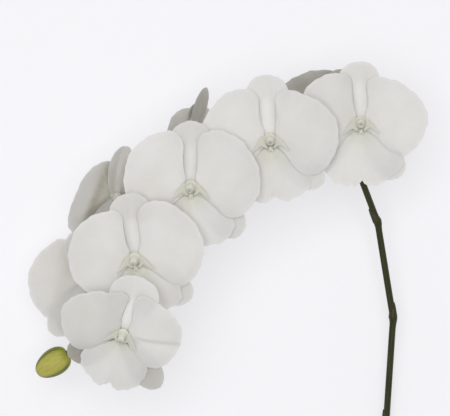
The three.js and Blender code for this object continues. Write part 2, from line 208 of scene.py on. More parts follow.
# %% [markdown]
# ## A tree that gives a flat blade its relief
# The petals, sepals and lips of the real flower are thin blades, thinnest at their rims. They could be sculpted,
# but nine blooms have more than seventy with their side lobes, and all follow one rule: a blade lies on a shallow
# dome, swells from its claw, and waves and curls at its rim. So one tree shapes them all, and its named sizes say
# how much of each. It reads three values that the flat sheet carries: the share of the way from the heart to the
# rim, the turn round the rim, and which face a point is on.

# %% The relief tree
RIM_START = 0.985  # share of the way to the rim where the two faces begin to close
PLEAT_EDGE, PLEAT_RAMP = 3, 14  # millimetres over which a pleat drops, and over which it grows along its line
OFF_UNLESS_SET = (
    "Back", "Rise", "Wave", "Flute", "Phase", "Curl", "Pucker", "Seed", "Ruffle", "Keel", "Lift",
    "Pleat", "Pleat angle", "Pleat at", "Pleat start",
)
RELIEF = dict.fromkeys(OFF_UNLESS_SET, 0.0) | {
    "Dome radius": 260.0, "Rise reach": 12.0, "Waves": 3.0, "Flutes": 15.0, "Pucker size": 24.0,
    "Ruffles": 5.0, "Ruffle start": 12.0, "Ruffle full": 26.0, "Keel width": 3.0, "Lift reach": 15.0,
    "Pleat reach": 9.0, "Thickness": 0.9, "Rim": 0.3,
}


def relief_tree():
    t = Shaping("blade relief", RELIEF)
    place = t.add("GeometryNodeInputPosition")
    x, y, _ = t.split(place)
    share, turn, face = t.carried("share"), t.carried("turn") * FULL_TURN, t.carried("face")
    far = x * x + y * y
    dome = -far / (t["Dome radius"] * 2) - t["Back"]
    rise = t["Rise"] * (1 - t.math("EXPONENT", -far / t["Rise reach"] ** 2))
    wave = t["Wave"] * share ** 3 * t.math("SINE", turn * t["Waves"] + t["Phase"])
    flute = t["Flute"] * share ** 4 * t.math("SINE", turn * t["Flutes"] + t["Phase"] * 3)
    curl = t["Curl"] * share ** 6
    rough = t.noise(place, 1 / t["Pucker size"], 2.0, 0.5, t["Seed"]) - 0.5
    pucker = t["Pucker"] * 2 * rough * t.smooth(share, 0.1, 0.6)
    ruffled = share ** 4 * t.smooth(-y, t["Ruffle start"], t["Ruffle full"])
    ruffle = t["Ruffle"] * ruffled * (0.5 + 0.5 * t.math("SINE", turn * t["Ruffles"] + t["Phase"]))
    keel = t["Keel"] * (1 - share ** 2) * t.math("EXPONENT", -((x / t["Keel width"]) ** 2))
    lift = t["Lift"] * (x / t["Lift reach"]) ** 2
    # A pleat: past a line across the blade the surface drops, and comes back over the pleat's reach.
    along = x * t.math("COSINE", t["Pleat angle"]) + y * t.math("SINE", t["Pleat angle"])
    past = x * t.math("SINE", t["Pleat angle"]) - y * t.math("COSINE", t["Pleat angle"]) - t["Pleat at"]
    drop = t.math("EXPONENT", -t.math("MAXIMUM", past, 0.0) / t["Pleat reach"])
    drop = drop * t.smooth(past, -PLEAT_EDGE, PLEAT_EDGE)
    pleat = t["Pleat"] * drop * t.smooth(along, t["Pleat start"], t["Pleat start"] + PLEAT_RAMP)
    half = (t["Thickness"] * (1 - t["Rim"]) * (1 - share ** 4) + t["Thickness"] * t["Rim"]) / 2
    shown = 1 - t.smooth(share, RIM_START, 1.0)
    height = dome + rise + wave + flute - curl + pucker + ruffle + keel + lift - pleat
    sheet = t.add("GeometryNodeSetPosition", None, {
        "Geometry": t["Geometry"], "Offset": t.join(0.0, 0.0, height + face * half * shown),
    })
    t.end(t.add("GeometryNodeSetShadeSmooth", None, {"Geometry": sheet}))
    return t


relief = relief_tree()
print("relief tree:", len(relief.tree.nodes), "nodes,", len(RELIEF), "sizes")

# %% [markdown]
# ## From a tree to a plain mesh
# The modifier could stay on its blade, but a piece is joined from several blades and then pressed flat on the
# table, which needs plain meshes. The modifier's inputs are set by the sockets' identifiers, because their names
# may repeat. The evaluated object is then read back as an ordinary mesh, and the modifier goes away with the
# object that carried it.


# %% Reading a shaped mesh back
def shaped(flat, tree, sizes, finish):
    raw = bpy.data.objects.new("raw", flat)
    scene.collection.objects.link(raw)
    modifier = raw.modifiers.new("shape", "NODES")
    modifier.node_group = tree.tree
    keys = {s.name: s.identifier for s in tree.tree.interface.items_tree if s.in_out == "INPUT"}
    for name, value in sizes.items():
        modifier[keys[name]] = float(value)
    modifier[keys["Finish"]] = finish
    mesh = bpy.data.meshes.new_from_object(raw.evaluated_get(bpy.context.evaluated_depsgraph_get()))
    mesh.materials.clear()
    mesh.materials.append(finish)
    bpy.data.objects.remove(raw)
    return mesh


print("a shaped mesh can be read back")

# %% [markdown]
# ## Smooth curves through a few places
# Outlines, profiles and lines could be long lists of points, or curves with handles. A few places with a cubic
# between each pair of them are easier to read and to move. The same cubic serves all three, closed for an outline
# and open for a profile.


# %% Curves
def cubic(a, b, first, last, t):
    """The value at t on the way from a to b, with the slopes that it has at both ends."""
    return a + first * t + ((b - a) * 3 - first * 2 - last) * t * t + ((a - b) * 2 + first + last) * t ** 3


def between(four, t):
    """The row at t on the way from the second to the third of four rows."""
    return tuple(cubic(a, b, (b - p) / 2, (c - a) / 2, t) for p, a, b, c in zip(*four))


def through(points, turn):
    """The place at a share of a closed curve through some points."""
    at = (turn % 1) * len(points)
    return between((points[(int(at) + k) % len(points)] for k in (-1, 0, 1, 2)), at % 1)


def eased(table, count):
    """More rows through a short table, by an open curve through each column."""
    rows, last = [], len(table) - 1
    for step in range(count + 1):
        at = min(step / count * last, last - 1e-9)
        rows.append(between((table[min(max(int(at) + k, 0), last)] for k in (-1, 0, 1, 2)), at % 1))
    return rows


def turned(point, degrees):
    a = math.radians(degrees)
    return (point[0] * math.cos(a) - point[1] * math.sin(a), point[0] * math.sin(a) + point[1] * math.cos(a))


print("curve helpers: cubic, between, through, eased, turned")

# %% [markdown]
# ## Meshes that know their own frame
# Veins follow a petal whichever way it faces, and a pattern on the object's coordinates doesn't. So a mesh carries
# its own upright place as a UV map, for the finishes to draw veins along, and named numbers at its points that the
# trees and the finishes read.

# %% A mesh with its own values
UV_SPAN = 120  # millimetres of a blade's own frame across its UV map


def store(mesh, name, numbers):
    mesh.attributes.new(name, "FLOAT", "POINT").data.foreach_set("value", numbers)


def filled(name, places, faces, own, values):
    mesh = bpy.data.meshes.new(name)
    mesh.from_pydata(places, [], faces)
    uv = mesh.uv_layers.new(name="own")
    for loop in mesh.loops:
        x, y = own[loop.vertex_index]
        uv.data[loop.index].uv = (x / UV_SPAN + 0.5, y / UV_SPAN + 0.5)
    for key, numbers in values.items():
        store(mesh, key, numbers)
    return mesh


print("millimetres across a UV map:", UV_SPAN)

# %% [markdown]
# ## The flat sheets
# A blade starts as a closed double sheet: rings of points that shrink from its outline to a heart near its root,
# once for the front face and once for the back, joined along the rim. A single sheet with Solidify would be
# shorter to write, but it has a square edge of full thickness, and a petal thins out to its rim.


# %% Sheets
def flat_sheet(name, outline, heart, rings, around, placed=lambda p: p, shade=1.0):
    shares = [0.0] + [(i + 1) / rings for i in range(rings - 1)] + [RIM_START, 1.0]
    own, share_at, turn_at = [tuple(heart)], [0.0], [0.0]
    for share in shares[1:]:
        for step in range(around):
            turn = step / around
            edge = outline(turn)
            own.append(tuple(h + (e - h) * share for h, e in zip(heart, edge)))
            share_at.append(share)
            turn_at.append(turn)
    count, last = len(own), len(shares) - 1

    def at(ring, step, back):
        """A point's number: the back's follow the front's, and both share the rim's."""
        return (1 + (ring - 1) * around + step % around if ring else 0) + (count if back and ring < last else 0)

    faces = []
    for back in (False, True):
        for step in range(around):
            faces.append((at(0, 0, back), at(1, step, back), at(1, step + 1, back)))
            for ring in range(1, last):
                quad = [at(ring, step, back), at(ring + 1, step, back)]
                faces.append((*quad, at(ring + 1, step + 1, back), at(ring, step + 1, back)))
    inner = count - around
    own += own[:inner]
    places = [(*placed(p), 0) for p in own]
    values = {
        "share": share_at + share_at[:inner], "turn": turn_at + turn_at[:inner],
        "face": [1.0] * inner + [0.0] * around + [-1.0] * inner, "shade": [shade] * len(own),
    }
    return filled(name, places, faces, own, values)


print("a blade can start as a flat sheet")

# %% [markdown]
# ## Lofted solids
# The column, the callus, the receptacle, the sheaths, the bracts and the bud are small rounded forms. Spheres and
# cylinders could be edited into them, but a loft through rings takes its profile straight from a table, and stays
# closed. A ring has a centre, two half widths and the two directions they point in. Small end rings round the ends
# off.

# %% Lofts
X, Y, Z = Vector((1, 0, 0)), Vector((0, 1, 0)), Vector((0, 0, 1))


def loft(name, rings, finish, face=1.0):
    """A closed mesh through rings of points, all with the same count."""
    sides = len(rings[0])
    places = [tuple(p) for ring in rings for p in ring]
    faces = []
    for i in range(len(rings) - 1):
        for j in range(sides):
            a, b = i * sides + j, i * sides + (j + 1) % sides
            faces.append((a, b, b + sides, a + sides))
    faces.append(tuple(reversed(range(sides))))
    faces.append(tuple(range((len(rings) - 1) * sides, len(rings) * sides)))
    shares = [i / (len(rings) - 1) for i in range(len(rings)) for _ in range(sides)]
    turns = [j / sides for _ in rings for j in range(sides)]
    values = {"share": shares, "turn": turns, "face": [face] * len(places), "shade": [1.0] * len(places)}
    mesh = filled(name, places, faces, [(p[0], p[1]) for p in places], values)
    mesh.polygons.foreach_set("use_smooth", [True] * len(mesh.polygons))
    mesh.materials.append(finish)
    return mesh


def oval(centre, across, up, sides, radius=lambda angle: 1.0):
    points = []
    for i in range(sides):
        angle = FULL_TURN * i / sides
        points.append(Vector(centre) + (across * math.cos(angle) + up * math.sin(angle)) * radius(angle))
    return points


print("loft helpers: loft, oval")

# %% [markdown]
# ## Placing a piece and giving it to the frame
# The parts of a piece are joined, moved to their place in metres, and pressed flat where they would sink into the
# table. The move goes into the mesh and not on the object, because the export puts every object back at the
# origin. Doubled points are merged and the faces are turned outwards. Then the piece rides on the one body that
# the stem has, and the solid that it stands for is hidden.


# %% From parts to a piece
CLEAR = 0.0002  # metres between a resting blade and the table
SAME_PLACE = 1e-6  # metres within which points are merged
# SHADED_PIECES: pieces that get more painted shade than the rest of their bloom.
SHADED_PIECES = {"bloom_9_left_petal": 0.82, "bloom_1_left_petal": 0.94}  # where a piece is darker than its bloom
made_pieces = []


def piece(name, parts, node, matrix, tone=1.0, olive_shade=0.0):
    tone = SHADED_PIECES.get(name, tone)
    objects = [bpy.data.objects.new(name, mesh) for mesh in parts]
    for obj in objects:
        scene.collection.objects.link(obj)
    whole = objects[0]
    if len(objects) > 1:
        chosen = {"active_object": whole, "object": whole, "selected_objects": objects}
        with bpy.context.temp_override(selected_editable_objects=objects, **chosen):
            bpy.ops.object.join()
    whole.name = name
    mesh = whole.data
    mesh.transform(matrix)
    shape = bmesh.new()
    shape.from_mesh(mesh)
    bmesh.ops.remove_doubles(shape, verts=shape.verts, dist=SAME_PLACE)
    bmesh.ops.recalc_face_normals(shape, faces=shape.faces)
    for vertex in shape.verts:
        vertex.co.z = max(vertex.co.z, CLEAR)
    shape.to_mesh(mesh)
    shape.free()
    sides = mesh.attributes["face"].data
    sharp = [all(sides[v].value == 0 for v in edge.vertices) for edge in mesh.edges]
    mesh.attributes.new("sharp_edge", "BOOLEAN", "EDGE").data.foreach_set("value", sharp)
    # tone and olive_shade say how much painted shade the finishes put on the piece.
    store(mesh, "tone", [tone] * len(mesh.vertices))
    store(mesh, "olive_shade", [olive_shade] * len(mesh.vertices))
    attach(whole, "root")
    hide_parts(node)
    made_pieces.append(whole)
    return whole


print("a piece can be given to the frame")

# %% [markdown]
# ## Finishes
# Pictures of real petals are the usual way to colour them. Nodes need no picture, stay sharp from close by and
# differ from bloom to bloom. A finish is a Principled shader whose constant values are set on its own sockets.
# Some light enters the skin and comes out again close by, as it does in a real petal. Colour, roughness and bump
# come from expressions. The petals' own frame comes back from the UV map in millimetres.


# %% The finish helper
class Finish(Nodes):
    """A material with one Principled shader."""

    def __init__(self, name, **constants):
        self.material = bpy.data.materials.new(name)
        self.material.use_nodes = True
        super().__init__(self.material.node_tree)
        self.skin = self.tree.nodes["Principled BSDF"]
        for key, value in constants.items():
            self.skin.inputs[key.replace("_", " ")].default_value = value

    def own(self):
        uv = self.add("ShaderNodeUVMap", {"uv_map": "own"})
        x, y, _ = self.split(uv)
        return (x - 0.5) * UV_SPAN, (y - 0.5) * UV_SPAN

    def value(self, name):
        return self.add("ShaderNodeAttribute", {"attribute_name": name}, out="Fac")

    def place(self):
        return self.add("ShaderNodeTexCoord", out="Object")

    def mix(self, amount, first, second):
        return self.add(
            "ShaderNodeMix", {"data_type": "RGBA"},
            {"Factor_Float": amount, "A_Color": first, "B_Color": second}, "Result_Color",
        )

    def finish(self, colour, rough=None, height=None, depth=0.0002):
        self.tree.links.new(colour.socket, self.skin.inputs["Base Color"])
        if rough is not None:
            self.tree.links.new(rough.socket, self.skin.inputs["Roughness"])
        if height is not None:
            bump = self.add("ShaderNodeBump", None, {"Height": height, "Distance": depth, "Strength": 0.6})
            self.tree.links.new(bump.socket, self.skin.inputs["Normal"])
        return self.material


SOFT_SKIN = {
    "Subsurface_Weight": 0.35, "Subsurface_Scale": 0.0025, "Subsurface_Radius": (1.0, 0.94, 0.84),
    "Specular_IOR_Level": 0.25, "Sheen_Weight": 0.08, "Sheen_Roughness": 0.5,
}
print("finish helper is ready")

# %% [markdown]
# ### Petals and sepals
# A white petal isn't one white. Faint veins fan out from its claw, its claw is a little green, broad clouds of a
# slightly warmer and a slightly darker white cross it, and its skin has a fine crystalline grain. Painted light
# makes a thin rim fairer and a dorsal sepal's raised midrib lighter. Painted shade darkens the rim a little and
# greys a bloom in the shade. On a shaded bloom's back the painted shade is olive, strongest in a band where a petal
# folds. All of it could be painted on each blade, but masks made from a blade's own place and from noise fit every
# one. Three values at a blade's points say how much painted shade it has: tone is 1 on a bloom in full light, shade
# is 1 on a blade as light as its bloom, and olive_shade is how strong the olive shade is on the back.

# %% Finish of petals, sepals and lips
WHITE = (0.858, 0.842, 0.813, 1)
WARM = (0.835, 0.814, 0.775, 1)
VEIN = (0.760, 0.745, 0.710, 1)
GREEN = (0.760, 0.765, 0.640, 1)
SHADE = (0.300, 0.290, 0.255, 1)
# OLIVE_SHADE is painted shade: the olive grey of a shaded bloom's back.
OLIVE_SHADE = (0.330, 0.305, 0.220, 1)
# PAINTED_LIGHT lightens a thin rim, where light shines through it, and a dorsal midrib that catches the light.
PAINTED_LIGHT = (0.940, 0.928, 0.900, 1)

# Pairs of millimetres from the heart or the middle line, over which a marking, painted light or painted shade comes
# or goes.
VEINS_COME, VEINS_FADE = (4.0, 14.0), (30.0, 50.0)
MIDRIB_SIDE, MIDRIB_TIP = (2.0, 6.0), (22.0, 34.0)
OLIVE_FADE = (14.0, 32.0)
GREEN_START = 2.0
# Where the band of painted olive shade lies across a petal's back, and its half width.
SHADE_BAND_AT, SHADE_BAND_HALF = 19, 5.5


def blade_finish(name, fan, wobble, green_reach, green=0.5, band=0.0, lit_midrib=False):
    """fan is the number of veins in a full turn round the claw, and green_reach is how far the claw's green goes.
    band is how strong the band of painted olive shade on the back is. lit_midrib adds painted light up the middle,
    where a raised midrib catches the light."""
    s = Finish(name, **SOFT_SKIN)
    x, y = s.own()
    place = s.place()
    far = s.math("SQRT", x * x + y * y)
    cloud = s.noise(place, 45.0, 3.0, 0.55)
    bend = s.noise(place, 90.0, 2.0, 0.5, 3.0) - 0.5
    angle = s.math("ARCTAN2", y, abs(x) + 0.01)
    spread = angle * (fan / 2) + bend * wobble
    line = abs(s.math("SINE", spread))
    thread = (1 - s.smooth(line, 0.02, 0.30)) * s.smooth(far, *VEINS_COME) * (1 - 0.6 * s.smooth(far, *VEINS_FADE))
    colour = s.mix(s.smooth(cloud, 0.35, 0.7), WHITE, WARM)
    colour = s.mix(thread * 0.1, colour, VEIN)
    colour = s.mix((1 - s.smooth(far, GREEN_START, green_reach)) * green, colour, GREEN)
    # Painted light: the thin rim is lighter, as light shines through it.
    painted_light = s.smooth(s.value("share"), 0.9, 1.0) * 0.5
    # Painted light up the dorsal sepal's raised midrib, where it catches the light.
    if lit_midrib:
        midrib_light = (1 - s.smooth(abs(x), *MIDRIB_SIDE)) * (1 - s.smooth(y, *MIDRIB_TIP))
        painted_light = s.math("MAXIMUM", painted_light, midrib_light)
    colour = s.mix(painted_light, colour, PAINTED_LIGHT)
    broad = s.smooth(s.noise(place, 26.0, 2.0, 0.5, 5.0), 0.42, 0.72)
    # Painted shade: tone and shade grey a shaded bloom or blade, broad random clouds darken it a little, and painted
    # shade darkens the rim where it curves away.
    dark = (1 - s.value("tone") * s.value("shade")) * (0.8 + 0.4 * cloud)
    dark = dark + broad * 0.08 + s.smooth(s.value("share"), 0.5, 0.95) * 0.025
    colour = s.mix(dark, colour, SHADE)
    # Painted olive shade on the back of a shaded bloom, with streaks, strongest in a band where a petal folds.
    back = s.smooth(-s.value("face"), 0.0, 1.0) * s.value("olive_shade")
    streak = s.smooth(s.noise(s.join(angle * 3.0, far * 0.02), 2.2, 3.0, 0.6, 7.0), 0.3, 0.7)
    reach = 0.9 * abs(x) + 0.43 * y if band else 0.8 * far
    shade_stripe = band * s.math("EXPONENT", -(((reach - SHADE_BAND_AT) / SHADE_BAND_HALF) ** 2))
    olive = back * (0.4 * (1 - s.smooth(reach, *OLIVE_FADE)) + shade_stripe) * (0.7 + 0.45 * streak)
    colour = s.mix(olive, colour, OLIVE_SHADE)
    grain = s.noise(place, 2600.0, 2.0, 0.6)
    return s.finish(colour, 0.5 + 0.16 * cloud, grain * 0.2 - thread * 0.14 + cloud * 0.5)


petal_skin = blade_finish("petal skin", 44, 2.4, 9.0, band=0.5)
sepal_skin = blade_finish("sepal skin", 60, 1.6, 12.0, lit_midrib=True)
lip_skin = blade_finish("lip skin", 48, 2.8, 27.0, 0.95)
print("finishes:", petal_skin.name, sepal_skin.name, lip_skin.name)

# %% [markdown]
# ### Side lobes, callus and column
# The throat carries the bloom's only colours. The side lobes are a pale grey green with a brown line along their
# lower edge, which is partly their own marking and partly painted shade under the edge. The callus is cream with
# faint brown dots, and the column is a greenish white over a greener foot, with a dark spot of painted shade for the
# hollow under its cap. Dots and lines could be modelled, but they are flat on the real flower too, so masks in the
# colour are enough.

# %% Finishes of the throat
LOBE_PALE = (0.690, 0.685, 0.595, 1)
# BROWN_AND_SHADE: the callus's own brown dots, the side lobes' brown line, which is partly painted shade, and the
# painted shade in the column's hollow.
BROWN_AND_SHADE = (0.240, 0.170, 0.110, 1)
CALLUS_CREAM = (0.870, 0.860, 0.740, 1)
COLUMN_WHITE = (0.820, 0.820, 0.725, 1)
COLUMN_GREEN = (0.790, 0.795, 0.665, 1)
LOBE_RIM, LOBE_LOWER = (0.72, 0.98), (-5.6, -2.2)  # where the brown line lies: share to the rim, and height
# The stigma's hollow is not modelled: a dark spot of painted shade stands for it.
HOLLOW_DROP, HOLLOW = 2.6, (0.3, 1.2)  # the hollow's place below the cap's middle, and its radii


def lobe_finish():
    s = Finish("side lobe skin", **SOFT_SKIN)
    x, y = s.own()
    place = s.place()
    streak = s.noise(s.join(x * 0.2, y * 1.4), 1.6, 3.0, 0.6)
    slope = y + abs(x) * 0.55
    # The brown line along a side lobe's lower edge is partly its own marking and partly painted shade under its
    # overhanging edge.
    lower = s.smooth(s.value("share"), *LOBE_RIM) * (1 - s.smooth(slope, *LOBE_LOWER))
    colour = s.mix(s.smooth(streak, 0.45, 0.75) * 0.3, LOBE_PALE, GREEN)
    colour = s.mix(lower * 0.7, colour, BROWN_AND_SHADE)
    # Painted shade on a lobe of a shaded bloom.
    colour = s.mix((1 - s.value("tone")) * 0.8, colour, SHADE)
    return s.finish(colour, 0.4 + 0.2 * streak, s.noise(place, 1800.0) * 0.4 + streak * 0.3)


def callus_finish():
    s = Finish("callus skin", **SOFT_SKIN)
    place = s.place()
    dots = s.smooth(s.noise(place, 900.0, 1.0, 0.4), 0.6, 0.68)
    colour = s.mix(s.smooth(s.noise(place, 300.0), 0.3, 0.7), CALLUS_CREAM, COLUMN_WHITE)
    colour = s.mix(dots * 0.15, colour, BROWN_AND_SHADE)
    return s.finish(colour, 0.3 + 0.2 * dots, dots * -0.4 + s.noise(place, 1500.0) * 0.4)


def column_finish():
    s = Finish("column skin", **SOFT_SKIN)
    place = s.place()
    up = s.value("share")
    blush = s.noise(place, 260.0, 2.0, 0.5)
    colour = s.mix(s.smooth(up + (blush - 0.5) * 0.3, 0.05, 0.6), COLUMN_GREEN, COLUMN_WHITE)
    x, y = s.own()
    # Painted shade: a dark spot where the stigma's hollow lies under the cap.
    far = s.math("SQRT", x * x * 0.8 + (y + HOLLOW_DROP) ** 2)
    colour = s.mix((1 - s.smooth(far, *HOLLOW)) * s.smooth(up, 0.5, 0.7) * 0.45, colour, BROWN_AND_SHADE)
    return s.finish(colour, 0.32 + 0.2 * blush, s.noise(place, 1500.0) * 0.4 + blush * 0.4)


lobe_skin, callus_skin, column_skin = lobe_finish(), callus_finish(), column_finish()
print("finishes:", lobe_skin.name, callus_skin.name, column_skin.name)

# %% [markdown]
# ## The outlines of a bloom
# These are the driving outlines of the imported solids, drawn for the right half and mirrored for the left. Every
# bloom could have outlines of its own, but the blooms of one stem are much alike. So they share these, and every
# rim gets a slight wander, so that no two are copies. A heart is the place that a blade's rings shrink to.

# %% Outlines
PETAL = [
    (3.8, 0.5), (3.2, 5.5), (4.7, 13), (5, 23), (4.9, 31), (9.5, 37.8), (19, 40), (30, 36.3),
    (40.5, 28), (48, 15.5), (49.8, 1), (45.8, -12), (36, -22.5), (25, -23), (12.5, -12.5), (3.7, -3.8),
]
PETAL_HEART = (8, 4)
CLAW_REACH = 22
INNER_REACH = 18
LIP_HALF = [
    (0, -4.5), (3.2, -5.6), (8, -8.6), (19, -13.5), (28.5, -21.5),
    (29.5, -32), (22.5, -40), (11.5, -44.8), (4, -44.8),
]
LIP_LINE = LIP_HALF + [(0, -42.6)] + [(-x, y) for x, y in reversed(LIP_HALF[1:])]
LOBE = [
    (0.9, -7.4), (3, -4), (3.7, 0), (4.2, 2.4), (6.6, 0.6),
    (10, -3.6), (14, -9.8), (9.8, -7), (6.2, -4.9), (3, -7.2),
]
LOBE_HEART = (5.6, -2.6)
DORSAL_LENGTH, DORSAL_HALF = 46.5, 17.5
LATERAL_LENGTH, LATERAL_HALF = 50.5, 14
RIM_WAVES = ((5, 1, 1), (11, 2, 0.6), (23, 3, 0.6))  # each: waves in a turn, shift and height
FULL_WANDER = 25  # millimetres from the bloom's middle where the wander is whole


def wandering(point, turn, size, phase):
    """Moves a rim point in and out a little."""
    x, y = point
    away = math.hypot(x, y) or 1
    push = sum(high * math.sin(FULL_TURN * count * turn + shift * phase) for count, shift, high in RIM_WAVES)
    far = size * push * min(1, away / FULL_WANDER)
    return x + x / away * far, y + y / away * far


print("outline points:", len(PETAL), "of a petal,", len(LIP_LINE), "of a lip,", len(LOBE), "of a side lobe")

# %% [markdown]
# ## A petal
# The two petals are the broad wings that the moth orchid is named for. They differ from bloom to bloom in how they
# spread, so four numbers bend the shared outline where a new one could be drawn each time. Its inner edge stays
# put beside the dorsal sepal. The outer part swings by the spread, its upper half is lowered to the crown's share,
# and its width follows the reach. The corner moves its upper inner point towards the middle.

# %% The petal maker
CORNER_HEIGHT, CORNER_WIDTH = 30, 14


def petal(side, spread, crown, reach, phase, corner, extra):
    def swung(point):
        x, y = point
        x -= corner * min(1, max(0, y / CORNER_HEIGHT)) * max(0, 1 - x / CORNER_WIDTH)
        out = min(1, x / INNER_REACH)
        swing = spread * out * min(1, math.hypot(x, y) / CLAW_REACH)
        return turned((x * reach, y * (1 - (1 - crown) * out) if y > 0 else y), -swing)

    flat = flat_sheet(
        "petal", lambda turn: wandering(swung(through(PETAL, turn)), turn, 0.42, phase),
        swung(PETAL_HEART), 15, 104, lambda p: (side * p[0], p[1]),
    )
    sizes = {
        "Rise": 1.5, "Wave": 1.1, "Flute": 0.14, "Phase": phase, "Curl": 0.9,
        "Pucker": 1.5, "Pucker size": 22, "Seed": phase, **extra,
    }
    return shaped(flat, relief, sizes, petal_skin)


print("blade maker: petal")

# %% [markdown]
# ## A sepal
# The three sepals stand behind the petals and once closed the bud. A sepal is egg-shaped, widest past its middle,
# which a sine and a cosine draw without a list of points. The dorsal one stands upright and has a keel up its
# middle, and the lateral ones are the same blade without it, turned to their angle.

# %% The sepal maker
SEPAL_ROOT = 1.5
EGG_MIDDLE, EGG_LEAN = 0.88, 0.26
KEEL = 2.6


def sepal(length, half, angle, phase, shade):
    def egg(turn):
        a = FULL_TURN * turn
        up = SEPAL_ROOT + (length - SEPAL_ROOT) * (1 - math.cos(a)) / 2
        return wandering((half * math.sin(a) * (EGG_MIDDLE - EGG_LEAN * math.cos(a)), up), turn, 0.25, phase)

    flat = flat_sheet("sepal", egg, (0, length * 0.3), 11, 72, lambda p: turned(p, -angle), shade)
    sizes = {
        "Back": 2.1, "Wave": 0.3, "Flute": 0.06, "Phase": phase, "Curl": 0.4, "Pucker": 0.4, "Seed": phase,
        "Keel": 0 if angle else KEEL, "Keel width": 4.4,
    }
    return shaped(flat, relief, sizes, sepal_skin)


print("blade maker: sepal")

# %% [markdown]
# ## The lip and its side lobes
# The lip is the third petal: a broad blade that hangs below the throat, with a ruffled, finely scalloped rim. Two
# narrow side lobes stand up from its root and spread like wings beside the column. On the plant the three are one
# sheet, but the lobes lie over the blade, and a tree that moves points up and down can't fold a sheet over itself.
# So three sheets are joined.

# %% The lip's makers
LIP_HEART = (0, -9)
FLAT = 1e6  # a dome so wide that it is flat


def lip_blade(phase, shares):
    line = [(x * shares[0], y * shares[1]) for x, y in LIP_LINE]
    flat = flat_sheet("lip", lambda turn: wandering(through(line, turn), turn, 0.75, phase), LIP_HEART, 15, 136)
    sizes = {
        "Back": 0.7, "Ruffle": 1.5, "Phase": phase, "Keel": 0.8, "Flute": 0.2, "Flutes": 19,
        "Curl": 0.4, "Pucker": 0.4, "Pucker size": 18, "Seed": phase + 9,
    }
    return shaped(flat, relief, sizes, lip_skin)


def side_lobe(side, phase):
    flat = flat_sheet("lobe", lambda turn: through(LOBE, turn), LOBE_HEART, 7, 44, lambda p: (side * p[0], p[1]))
    sizes = {
        "Dome radius": FLAT, "Back": -2.0, "Lift": 2.2, "Pucker": 0.15, "Pucker size": 6,
        "Seed": phase, "Thickness": 0.8,
    }
    return shaped(flat, relief, sizes, lobe_skin)


print("blade makers: lip_blade, side_lobe")

# %% [markdown]
# ## The callus, the column and the receptacle
# The callus is a knob with two blunt horns between the side lobes. The column is a club that leans down over the
# lip. It has a collar round its foot and ends in the anther cap, a small helmet. The stigma's hollow under the cap
# is not modelled: painted shade in the column's finish stands for it. The receptacle narrows from the sepals' roots
# to the stalk. They could be sculpted, but they are only a few millimetres wide, so lofts with the right profile do.
# Rows give a height, a lean and the half widths there.

# %% Small solids of a bloom
COLUMN = [
    (-1.9, 0, 3.3, 3.3), (0.3, 0, 3.4, 3.4), (0.7, 0, 4.4, 4.4), (1.3, 0, 4.3, 4.3), (2.3, 0, 3.1, 3.1),
    (4, -0.3, 2.6, 2.6), (6.5, -0.7, 2.5, 2.5), (8.6, -1.3, 2.6, 2.35), (9.8, -1.9, 2.35, 1.9),
    (10.8, -2.4, 1.4, 1.1), (11.2, -2.6, 0.3, 0.25),
]
CAP_AT, CAP_RADII = (0, -2.5, 9.8), (2.15, 1.9, 1.35)
KNOB_AT, KNOB_RADII = (0, -7.3, 0.9), (2.3, 1.9, 1.9)
HORN_RADII = (0.85, 1.25, 1.0)
RECEPTACLE = [(-9, 0.3), (-8.9, 2.1), (-6.5, 2.6), (-4.6, 4), (-2.6, 4), (-2.2, 3.6), (-2.2, 0.3)]
POLE_CUT = 0.03  # share of a helmet's arc that is left off at each pole


def helmet(name, at, radii, finish, bands=9, sides=18):
    """An egg-shaped knob."""
    rings = []
    for band in range(bands + 1):
        a = math.pi * (POLE_CUT + (1 - 2 * POLE_CUT) * band / bands) - math.pi / 2
        centre = Vector(at) + Z * radii[2] * math.sin(a)
        rings.append(oval(centre, X * radii[0] * math.cos(a), Y * radii[1] * math.cos(a), sides))
    return loft(name, rings, finish)


def column():
    rings = [oval((0, lean, high), X * wide, Y * deep, 24) for high, lean, wide, deep in eased(COLUMN, 32)]
    return [loft("column", rings, column_skin), helmet("cap", CAP_AT, CAP_RADII, column_skin)]


def callus():
    horns = [helmet("horn", (side * 1.15, -8.3, 1.8), HORN_RADII, callus_skin, 6, 10) for side in (-1, 1)]
    return [helmet("callus", KNOB_AT, KNOB_RADII, callus_skin), *horns]


def receptacle():
    rings = [oval((0, 0, high), X * radius, Y * radius, 20) for high, radius in eased(RECEPTACLE, 22)]
    return loft("receptacle", rings, sepal_skin, -1.0)


print("solids: column, callus, receptacle")

# %% [markdown]
# ## Nine blooms
# One bloom could be copied eight times, but copies in a row are seen at once, so each is made anew from its row
# here. A row gives its centre, the way it faces, its turn, its size, the phase of its waves and its light. What
# differs in its blades follows: the petals' spread, crowns and reaches, the lateral sepals' angles, and shares of
# the usual size. The odd blooms are the front rank in full light. The even ones hang behind them and show their
# backs, the topmost in the deepest shade.

